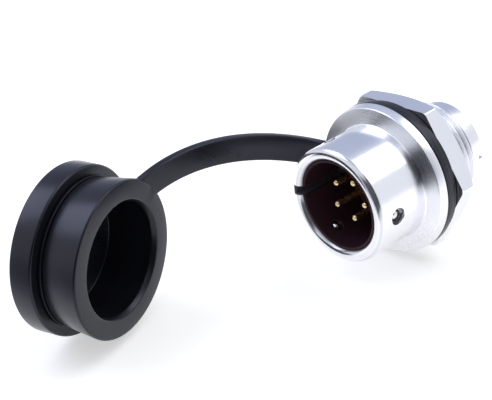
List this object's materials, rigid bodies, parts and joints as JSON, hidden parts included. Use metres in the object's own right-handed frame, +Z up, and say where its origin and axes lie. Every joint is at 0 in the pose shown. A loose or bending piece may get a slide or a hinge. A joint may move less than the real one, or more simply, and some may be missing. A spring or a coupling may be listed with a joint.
{
  "type": "waterproof panel connector",
  "caption": "Round panel-mount socket with gold pins, keyway and locking balls, a flanged threaded neck with gasket and hex nut, and a rubber dust cap on a strap.",
  "frame": {"origin": "centre of the flange's rear face, on the connector's axis", "axes": "+Y runs along the connector's axis towards the cable side, the open socket faces -Y, +Z is up"},
  "size_m": [0.0397, 0.0688, 0.0247],
  "materials": {
    "shell_nickel": "satin nickel plate",
    "nut_nickel": "satin nickel plate",
    "ball_steel": "polished steel",
    "pin_gold": "gold plate",
    "liner_plastic": "moulded, satin",
    "insert_plastic": "moulded, satin",
    "seal_rubber": "moulded",
    "gasket_rubber": "moulded",
    "cap_rubber": "moulded, satin"
  },
  "bodies": {
    "root": {"shell": "shell_nickel", "rear_clamp_ring": "nut_nickel", "socket_liner": "liner_plastic", "front_insert": "insert_plastic", "rear_insert": "insert_plastic", "insert_seal": "seal_rubber", "pin_seal": "seal_rubber", "panel_gasket": "gasket_rubber", "contact_pin_1": "pin_gold", "contact_pin_2": "pin_gold", "contact_pin_3": "pin_gold", "contact_pin_4": "pin_gold", "contact_pin_5": "pin_gold"},
    "nut": {"panel_nut": "nut_nickel"},
    "tether": {"tethered_cap": "cap_rubber"},
    "ball_1": {"locking_ball_1": "ball_steel"},
    "ball_2": {"locking_ball_2": "ball_steel"},
    "ball_3": {"locking_ball_3": "ball_steel"}
  },
  "joints": [
    {"name": "tether_swivel", "type": "hinge", "parent": "root", "child": "tether", "pos_m": [0, 0.00065, 0], "axis": [0, 1, 0], "continuous": true},
    {"name": "panel_nut_travel", "type": "slide", "parent": "root", "child": "nut", "axis": [0, 1, 0], "range_m": [0, 0.0052]},
    {"name": "ball_1_travel", "type": "slide", "parent": "root", "child": "ball_1", "axis": [0.9982, 0, -0.0593], "range_m": [0, 0.0003]},
    {"name": "ball_2_travel", "type": "slide", "parent": "root", "child": "ball_2", "axis": [-0.4478, 0, 0.8942], "range_m": [0, 0.0003]},
    {"name": "ball_3_travel", "type": "slide", "parent": "root", "child": "ball_3", "axis": [-0.5505, 0, -0.8348], "range_m": [0, 0.0003]}
  ]
}
